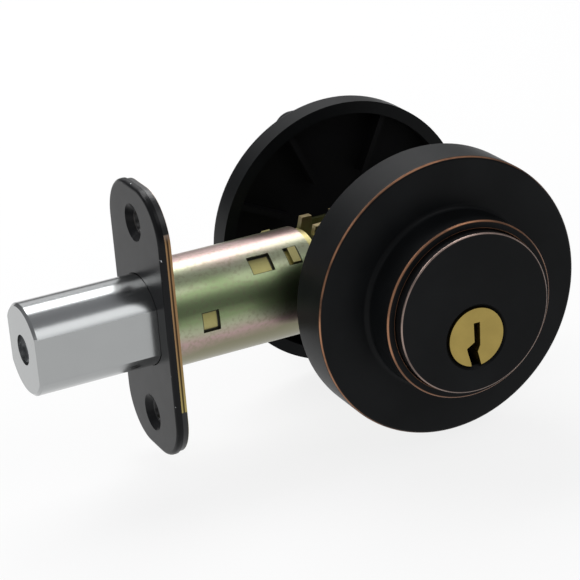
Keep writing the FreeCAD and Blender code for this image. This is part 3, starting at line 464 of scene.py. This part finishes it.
def strip_finish():
    """Chromated zinc with a tan edge and a dark seam, painted black at its corners and in its screw holes
    as painted shade.
    """
    finish = Finish("zinc_backplate")
    colour, speckle, cloud = zinc_colour(finish, 0.2)
    depth, across, up = finish.axes()
    side = finish.step(abs(across), PLATE_HALF.y - 0.8 * MM, PLATE_HALF.y - 0.4 * MM)
    top_start, low_start = PLATE_HALF.z - STRIP_TOP, PLATE_HALF.z - STRIP_LOW
    top_corner_shade = finish.step(up, top_start, top_start + STRIP_FADE)
    low_corner_shade = finish.step(0 - up, low_start, low_start + STRIP_FADE)
    off_screw = abs(up) - sizes().screw_spacing / 2
    from_screw = across * across + off_screw * off_screw
    bore = 1 - finish.step(from_screw, HOLE_SHADE[0] ** 2, HOLE_SHADE[1] ** 2)
    rear = BACKPLATE[1].x
    off_rear = 1 - finish.step(depth, rear - 0.08 * MM, rear - 0.02 * MM)
    # Painted shade: the corners of the edge and the screw holes are painted black, kept off the rear face.
    black = top_corner_shade.maximum(low_corner_shade).maximum(bore) * off_rear
    low = finish.step(0 - up, 0.0, PLATE_HALF.z * 0.8)
    strip = finish.blend(low, tuple(colours().strip), tuple(colours().zinc_gold))
    seam = finish.line(depth, (BACKPLATE[0].x + BACKPLATE[1].x) / 2, SEAM_HALF)
    lined = finish.blend(seam * 0.85, strip, tuple(colours().plate_black))
    edge = finish.blend(side, colour, lined)
    finish.give(Base_Color=finish.blend(black, edge, tuple(colours().plate_black)),
                Metallic=1 - 0.9 * black, Roughness=0.30 + 0.1 * cloud + 0.05 * speckle)
    finish.bump(speckle, distance=0.02 * MM, strength=0.3)
    return finish.material


def chrome_finish():
    """Bright plating with faint polishing marks along the bolt."""
    finish = Finish("bright_chrome")
    marks = finish.noise(scale=900.0, detail=2.0, vector=finish.stretched((0.05, 1.0, 1.0)))
    cloud = finish.noise(scale=120.0, detail=3.0)
    base = tuple(colours().chrome)
    finish.give(Base_Color=finish.blend(cloud, base, tuple(part * 0.92 for part in base)),
                Metallic=1.0, Roughness=0.17 + 0.06 * marks)
    finish.bump(marks, distance=0.01 * MM, strength=0.25)
    return finish.material


def brass_finish(name, axis):
    """Satin brass with fine turning marks about an axis along Y."""
    finish = Finish(name)
    turning = finish.node("ShaderNodeTexNoise", {"noise_dimensions": "1D"}, {
        "W": finish.radius_from(axis), "Scale": 5200.0, "Detail": 2.0})
    cloud = finish.noise(scale=320.0, detail=4.0)
    base = tuple(colours().brass)
    finish.give(Base_Color=finish.blend(cloud, base, tuple(part * 0.78 for part in base)),
                Metallic=1.0, Roughness=0.30 + 0.10 * cloud + 0.05 * turning)
    finish.bump(turning, distance=0.01 * MM, strength=0.3)
    return finish.material


def steel_finish(name, colour, rough, stretch):
    """Drawn or machined steel, with streaks along one axis."""
    finish = Finish(name)
    streaks = finish.noise(scale=1400.0, detail=3.0, vector=finish.stretched(stretch))
    cloud = finish.noise(scale=180.0, detail=3.0)
    base = tuple(colour)
    finish.give(Base_Color=finish.blend(cloud, base, tuple(part * 0.72 for part in base)),
                Metallic=1.0, Roughness=rough + 0.12 * cloud + 0.05 * streaks)
    finish.bump(streaks, distance=0.02 * MM, strength=0.3)
    return finish.material


def casting_finish():
    """Die-cast zinc with a pebbled skin."""
    finish = Finish("zinc_casting")
    skin = finish.noise(scale=1100.0, detail=5.0)
    base = tuple(colours().casting)
    finish.give(Base_Color=finish.blend(skin, base, tuple(part * 0.6 for part in base)),
                Metallic=0.9, Roughness=0.42 + 0.2 * skin)
    finish.bump(skin, distance=0.06 * MM, strength=0.5)
    return finish.material


# ---------------------------------------------------------------- meshes

def shown(bm, name, body, nodes, finishes, soften=True):
    """Make a finished mesh a piece of the lock, riding on a body in the place of CAD nodes."""
    for face in bm.faces:
        face.smooth = True
    for edge in bm.edges:
        edge.smooth = edge.is_manifold and edge.calc_face_angle(0.0) < SHARP
    mesh = bpy.data.meshes.new(name)
    bm.to_mesh(mesh)
    bm.free()
    for finish in finishes:
        mesh.materials.append(finish)
    piece = bpy.data.objects.new(name, mesh)
    bpy.context.scene.collection.objects.link(piece)
    if soften:
        weighted = piece.modifiers.new("Even Normals", "WEIGHTED_NORMAL")
        weighted.keep_sharp = True
        weighted.weight = FACE_WEIGHT
    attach(piece, body)
    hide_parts(*nodes)
    return piece


def merged_copy(node):
    """A CAD node's mesh with its doubled corners joined."""
    bm = bmesh.new()
    bm.from_mesh(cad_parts[node].data)
    bmesh.ops.remove_doubles(bm, verts=bm.verts, dist=JOIN)
    return bm


def turned(bm, axis, corners):
    """Turn a half section, given as radius, Y and rounding, about a line along Y."""
    verts = [bm.verts.new((axis.x + radius, y, axis.z)) for radius, y, _ in corners]
    for pair in zip(verts, verts[1:] + verts[:1]):
        bm.edges.new(pair)
    made = set(verts)
    for vert, (_, _, rounding) in zip(verts, corners):
        if rounding:
            arc = bmesh.ops.bevel(bm, geom=[vert], offset=rounding, offset_type="OFFSET",
                                  segments=ARC_SEGMENTS, profile=0.5, affect="VERTICES",
                                  material=-1)
            made.update(arc["verts"])
    section = [vert for vert in made if vert.is_valid]
    wires = list({edge for vert in section for edge in vert.link_edges})
    bmesh.ops.spin(bm, geom=section + wires, cent=(axis.x, 0, axis.z), axis=ALONG_Y,
                   angle=math.tau, steps=TURN_STEPS, use_merge=True)
    bmesh.ops.remove_doubles(bm, verts=bm.verts, dist=JOIN)
    bmesh.ops.recalc_face_normals(bm, faces=bm.faces)
    return bm


# ---------------------------------------------------------------- pieces

class DEADBOLT_OT_exterior_rose(bpy.types.Operator):
    """Turn the exterior rose with its raised boss"""
    bl_idname = "deadbolt.exterior_rose"
    bl_label = "Exterior Rose"

    def execute(self, context):
        size = sizes()
        back, boss_front = ROSE[1].y, ROSE[0].y
        front = back - size.rose_depth
        cavity = ROSE_RADIUS - size.rim_width
        bore = size.face_radius + size.face_gap
        bm = turned(bmesh.new(), ROSE_AXIS, [
            (cavity, back, 0), (ROSE_RADIUS, back, size.rim_edge), (ROSE_RADIUS, front, size.rose_edge),
            (size.boss_radius, front, size.boss_foot), (size.boss_radius, boss_front, size.boss_edge),
            (bore, boss_front, size.bore_edge), (bore, front + size.rose_wall, 0),
            (cavity, front + size.rose_wall, size.cavity_round)])
        width = size.wear_width
        edges = [(ROSE_RADIUS - 0.05 * MM, front + 0.25 * MM, width, 0.08),
                 (size.boss_radius - 0.05 * MM, boss_front + 0.1 * MM, width * 1.15, 0.40),
                 (bore + 0.1 * MM, boss_front + 0.1 * MM, width * 0.6, 0.10)]
        finish = rose_finish("bronze_exterior_rose", ROSE_AXIS, edges, tuple(colours().copper))
        shown(bm, "exterior_rose_shell", "lockset", ["exterior_rose"], [finish])
        return {"FINISHED"}


class DEADBOLT_OT_cylinder(bpy.types.Operator):
    """Shape the lock cylinder's face and its housing"""
    bl_idname = "deadbolt.cylinder"
    bl_label = "Lock Cylinder"

    def execute(self, context):
        size = sizes()
        bm = merged_copy("cylinder_housing")
        rim = [edge for edge in bm.edges if self.on_face_rim(edge)]
        bmesh.ops.bevel(bm, geom=rim, offset=size.face_edge, offset_type="OFFSET", segments=BEVEL_SEGMENTS,
                        profile=0.5, affect="EDGES", material=-1)
        edges = [(size.face_radius - 0.12 * MM, HOUSING[0].y + 0.12 * MM, size.wear_width * 0.75, 0.45)]
        finish = rose_finish("bronze_cylinder", ROSE_AXIS, edges, tuple(colours().face_line))
        shown(bm, "cylinder_face", "lockset", ["cylinder_housing"], [finish])
        return {"FINISHED"}

    def on_face_rim(self, edge):
        for vert in edge.verts:
            away = Vector((vert.co.x - ROSE_AXIS.x, vert.co.z - ROSE_AXIS.z)).length
            if abs(away - sizes().face_radius) > 2 * ON_FACE or abs(vert.co.y - HOUSING[0].y) > ON_FACE:
                return False
        return True


class DEADBOLT_OT_plug(bpy.types.Operator):
    """Shape the brass plug with its keyway"""
    bl_idname = "deadbolt.plug"
    bl_label = "Plug"

    def execute(self, context):
        bm = merged_copy("cylinder_plug")
        mouth = [edge for edge in bm.edges if self.on_keyway(edge)]
        bmesh.ops.bevel(bm, geom=mouth, offset=sizes().key_bevel, offset_type="OFFSET",
                        segments=KEY_SEGMENTS, profile=0.5, affect="EDGES", material=-1)
        shown(bm, "plug_face", "plug", ["cylinder_plug"],
              [brass_finish("brass_plug", PLUG_AXIS)])
        return {"FINISHED"}

    def on_keyway(self, edge):
        if edge.calc_face_angle(0.0) < SHARP:
            return False
        plug_radius = (PLUG[1].x - PLUG[0].x) / 2
        for vert in edge.verts:
            away = Vector((vert.co.x - PLUG_AXIS.x, vert.co.z - PLUG_AXIS.z)).length
            if away > plug_radius - sizes().plug_rim or abs(vert.co.y - PLUG[0].y) > ON_FACE:
                return False
        return True


class DEADBOLT_OT_pin_springs(bpy.types.Operator):
    """Wind the five pin springs"""
    bl_idname = "deadbolt.pin_springs"
    bl_label = "Pin Springs"

    def execute(self, context):
        size = sizes()
        outer = (SPRINGS[1].x - SPRINGS[0].x) / 2
        reach = outer - size.spring_wire
        first = SPRINGS[0].y + outer
        last = SPRINGS[1].y - outer
        low = SPRINGS[0].z + size.spring_wire
        rise = (SPRINGS[1].z - SPRINGS[0].z - 2 * size.spring_wire) / (size.spring_turns * COIL_STEPS)
        bm = bmesh.new()
        for i in range(PIN_COUNT):
            y = first + (last - first) * i / (PIN_COUNT - 1)
            lean = Matrix.Translation((PLUG_AXIS.x + reach, y, low)) @ Matrix.Rotation(math.pi / 2, 4, "X")
            circle = bmesh.ops.create_circle(bm, segments=WIRE_SIDES, radius=size.spring_wire, matrix=lean,
                                             cap_ends=True)["verts"]
            faces = list({face for vert in circle for face in vert.link_faces})
            edges = list({edge for vert in circle for edge in vert.link_edges})
            bmesh.ops.spin(bm, geom=circle + edges + faces, cent=(PLUG_AXIS.x, y, 0), axis=(0, 0, 1),
                           dvec=(0, 0, rise), angle=math.tau * size.spring_turns,
                           steps=size.spring_turns * COIL_STEPS)
        bmesh.ops.recalc_face_normals(bm, faces=bm.faces)
        finish = steel_finish("spring_pins", colours().spring, 0.25, (1.0, 1.0, 1.0))
        shown(bm, "pin_coils", "lockset", ["pin_springs"], [finish], soften=False)
        return {"FINISHED"}


class DEADBOLT_OT_interior_rose(bpy.types.Operator):
    """Copy the interior rose from its CAD mesh; its dish keeps the cast ribs and bosses"""
    bl_idname = "deadbolt.interior_rose"
    bl_label = "Interior Rose"

    def execute(self, context):
        size = sizes()
        bm = merged_copy("interior_rose")
        cavity = ROSE_RADIUS - size.rim_width
        rim, face = ROOM_ROSE[0].y, ROOM_ROSE[1].y
        for f in bm.faces:
            centre = f.calc_center_median()
            away = Vector((centre.x - ROSE_AXIS.x, centre.z - ROSE_AXIS.z)).length
            inside = away < cavity + 2 * ON_FACE
            # Faces inside the dish take the second finish, which paints shade there.
            f.material_index = int(inside and rim - DISH_MARGIN < centre.y < face - DISH_SKIN)
        edges = [(ROSE_RADIUS - 0.3 * MM, face - 0.3 * MM, size.wear_width, 0.2)]
        finish = rose_finish("bronze_interior_rose", ROSE_AXIS, edges, tuple(colours().copper))
        shown(bm, "interior_rose_shell", "lockset", ["interior_rose"],
              [finish, dish_shade_finish()])
        return {"FINISHED"}


class DEADBOLT_OT_thumb_turn(bpy.types.Operator):
    """Shape the thumb turn"""
    bl_idname = "deadbolt.thumb_turn"
    bl_label = "Thumb Turn"

    def execute(self, context):
        shown(merged_copy("thumbturn"), "thumb_turn_body", "thumbturn", ["thumbturn"],
              [turn_finish()])
        return {"FINISHED"}


class DEADBOLT_OT_faceplate(bpy.types.Operator):
    """Shape the faceplate and the plate behind it"""
    bl_idname = "deadbolt.faceplate"
    bl_label = "Faceplate"

    def execute(self, context):
        shown(merged_copy("faceplate"), "faceplate_black", "lockset", ["faceplate"],
              [faceplate_finish()])
        shown(merged_copy("backplate"), "backplate_zinc", "lockset", ["backplate"],
              [strip_finish()])
        return {"FINISHED"}


class DEADBOLT_OT_tube(bpy.types.Operator):
    """Shape the bolt tube and the sleeve inside it"""
    bl_idname = "deadbolt.tube"
    bl_label = "Bolt Tube"

    def execute(self, context):
        shown(merged_copy("bolt_tube"), "tube_zinc", "lockset", ["bolt_tube"],
              [zinc_finish("zinc_tube")])
        shown(merged_copy("inner_sleeve"), "sleeve_zinc", "lockset", ["inner_sleeve"],
              [sleeve_finish()])
        return {"FINISHED"}


class DEADBOLT_OT_bolt(bpy.types.Operator):
    """Shape the chromed bolt and its hardened insert"""
    bl_idname = "deadbolt.bolt"
    bl_label = "Bolt"

    def execute(self, context):
        shown(merged_copy("bolt"), "bolt_chrome", "bolt", ["bolt"], [chrome_finish()])
        finish = steel_finish("steel_insert", tuple(part * 0.5 for part in colours().steel), 0.35,
                              (1.0, 1.0, 1.0))
        shown(merged_copy("hardened_insert"), "insert_steel", "bolt", ["hardened_insert"],
              [finish])
        return {"FINISHED"}


class DEADBOLT_OT_inner_finishes(bpy.types.Operator):
    """Give the frame's own inner parts their finishes"""
    bl_idname = "deadbolt.inner_finishes"
    bl_label = "Inner Finishes"

    def execute(self, context):
        plate = zinc_finish("zinc_case", gold=0.45, rough=0.30)
        carriage = zinc_finish("zinc_carriage", gold=0.60, rough=0.30)
        pins = brass_finish("brass_pins", PLUG_AXIS)
        turned_steel = steel_finish("steel_turned", colours().steel, 0.24, (1.0, 0.08, 1.0))
        drawn_steel = steel_finish("steel_drawn", colours().steel, 0.30, (1.0, 0.06, 0.4))
        leaf = steel_finish("spring_leaf", colours().spring, 0.28, (0.08, 1.0, 1.0))
        casting = casting_finish()
        finishes = {
            plate: ["case_plate_near", "case_plate_far", "case_rivets"],
            carriage: ["bolt_carriage"],
            pins: ["key_pins", "driver_pins", "chamber_cover"],
            turned_steel: ["drive_pin", "mounting_screws", "cap_screws", "carriage_rivets", "plug_cap"],
            drawn_steel: ["tailpiece", "turn_washer", "retaining_clip"],
            leaf: ["detent_spring"],
            casting: ["hub_cam"],
        }
        for finish, nodes in finishes.items():
            for node in nodes:
                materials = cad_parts[node].data.materials
                materials.clear()
                materials.append(finish)
        return {"FINISHED"}


# ---------------------------------------------------------------- studio

FLOOR_REACH = 4.0
SENSOR_WIDTH = 36.0
CLIP = (0.01, 20.0)
# Heights in the sky, from 0 at the horizon to 1 overhead, where its low and top colours begin.
SKY_STOPS = (0.05, 0.75)
# Soft boxes: name, place from the lock's centre and size in metres, power in watts.
SOFT_BOXES = [
    ("top_box", (-0.05, 0.36, 0.56), (0.8, 0.30), 4.4),
    ("left_box", (-0.60, -0.25, 0.35), (0.35, 0.5), 0.3),
    ("front_box", (0.26, -0.42, 0.60), (0.5, 0.3), 0.8),
    ("back_box", (0.25, 0.75, 0.35), (0.9, 0.3), 0.7),
]


def soft_light(name, place, aim, size, power):
    """A rectangular soft box that faces a point."""
    data = bpy.data.lights.new(name, "AREA")
    data.shape = "RECTANGLE"
    data.size, data.size_y = size
    data.energy = power
    lamp = bpy.data.objects.new(name, data)
    bpy.context.scene.collection.objects.link(lamp)
    lamp.location = place
    lamp.rotation_euler = (aim - place).to_track_quat("-Z", "Y").to_euler()


def floor_finish():
    """Pale matt floor, lit a little from within so that it stays even."""
    finish = Finish("studio_floor")
    colour = tuple(studio().floor_colour)
    finish.give(Base_Color=colour, Roughness=0.9, Specular_IOR_Level=0.1,
                Emission_Color=(1.0, 1.0, 1.0), Emission_Strength=studio().floor_glow)
    return finish.material


class DEADBOLT_OT_studio(bpy.types.Operator):
    """Set up the floor, the sky, the soft lights and the camera"""
    bl_idname = "deadbolt.studio"
    bl_label = "Studio"

    def execute(self, context):
        scene = context.scene
        scene.view_settings.view_transform = "Standard"
        self.floor(scene)
        self.sky(scene)
        self.lights()
        self.camera(scene)
        return {"FINISHED"}

    def floor(self, scene):
        bm = bmesh.new()
        level = CAD_BOX[0].z - studio().floor_drop
        bmesh.ops.create_grid(bm, x_segments=1, y_segments=1, size=FLOOR_REACH,
                              matrix=Matrix.Translation((0, 0, level)))
        mesh = bpy.data.meshes.new("studio_floor")
        bm.to_mesh(mesh)
        bm.free()
        mesh.materials.append(floor_finish())
        floor = bpy.data.objects.new("studio_floor", mesh)
        scene.collection.objects.link(floor)

    def sky(self, scene):
        world = bpy.data.worlds.new("studio_sky")
        scene.world = world
        world.use_nodes = True
        tree = world.node_tree
        background = tree.nodes["Background"]
        place = tree.nodes.new("ShaderNodeTexCoord")
        split = tree.nodes.new("ShaderNodeSeparateXYZ")
        ramp = tree.nodes.new("ShaderNodeValToRGB")
        tree.links.new(place.outputs["Generated"], split.inputs[0])
        tree.links.new(split.outputs["Z"], ramp.inputs[0])
        tree.links.new(ramp.outputs[0], background.inputs[0])
        stops = zip(ramp.color_ramp.elements, SKY_STOPS, (studio().sky_low, studio().sky_top))
        for element, height, colour in stops:
            element.color = (*colour, 1)
            element.position = height
        background.inputs["Strength"].default_value = studio().sky_power

    def lights(self):
        centre = (CAD_BOX[0] + CAD_BOX[1]) / 2
        for name, place, size, power in SOFT_BOXES:
            soft_light(name, centre + Vector(place), centre, size, power)

    def camera(self, scene):
        data = bpy.data.cameras.new("studio_camera")
        data.sensor_width = SENSOR_WIDTH
        data.lens = studio().focal
        data.clip_start, data.clip_end = CLIP
        camera = bpy.data.objects.new("studio_camera", data)
        scene.collection.objects.link(camera)
        turn, lift, roll = studio().azimuth, studio().elevation, studio().roll
        back = Vector((math.sin(turn) * math.cos(lift), -math.cos(turn) * math.cos(lift), math.sin(lift)))
        right = Vector((math.cos(turn), math.sin(turn), 0))
        up = back.cross(right)
        rolled_right = right * math.cos(roll) + up * math.sin(roll)
        rolled_up = up * math.cos(roll) - right * math.sin(roll)
        axes = Matrix((rolled_right, rolled_up, back)).transposed()
        camera.matrix_world = Matrix.Translation(studio().camera_place) @ axes.to_4x4()
        scene.camera = camera


class DEADBOLT_PT_panel(bpy.types.Panel):
    """Buttons for each piece of the lock and its sizes and colours"""
    bl_idname = "DEADBOLT_PT_panel"
    bl_label = "Deadbolt Lock"
    bl_space_type = "VIEW_3D"
    bl_region_type = "UI"
    bl_category = "Deadbolt"

    def draw(self, context):
        layout = self.layout
        for operator in PIECES:
            layout.operator(operator.bl_idname)
        for title, settings in (("Sizes", sizes()), ("Colours", colours()), ("Studio", studio())):
            box = layout.box()
            box.label(text=title)
            for name in settings.__annotations__:
                box.prop(settings, name)


GROUPS = [DeadboltSizes, DeadboltColours, DeadboltStudio]
PIECES = [
    DEADBOLT_OT_exterior_rose,
    DEADBOLT_OT_cylinder,
    DEADBOLT_OT_plug,
    DEADBOLT_OT_pin_springs,
    DEADBOLT_OT_interior_rose,
    DEADBOLT_OT_thumb_turn,
    DEADBOLT_OT_faceplate,
    DEADBOLT_OT_tube,
    DEADBOLT_OT_bolt,
    DEADBOLT_OT_inner_finishes,
    DEADBOLT_OT_studio,
]
CLASSES = GROUPS + PIECES + [DEADBOLT_PT_panel]


def register():
    for kind in CLASSES:
        bpy.utils.register_class(kind)
    bpy.types.Scene.deadbolt_sizes = bpy.props.PointerProperty(type=DeadboltSizes)
    bpy.types.Scene.deadbolt_colours = bpy.props.PointerProperty(type=DeadboltColours)
    bpy.types.Scene.deadbolt_studio = bpy.props.PointerProperty(type=DeadboltStudio)


def unregister():
    del bpy.types.Scene.deadbolt_studio
    del bpy.types.Scene.deadbolt_colours
    del bpy.types.Scene.deadbolt_sizes
    for kind in reversed(CLASSES):
        bpy.utils.unregister_class(kind)


def main():
    register()
    for operator in PIECES:
        family, name = operator.bl_idname.split(".")
        getattr(getattr(bpy.ops, family), name)()


if __name__ == "__main__":
    main()
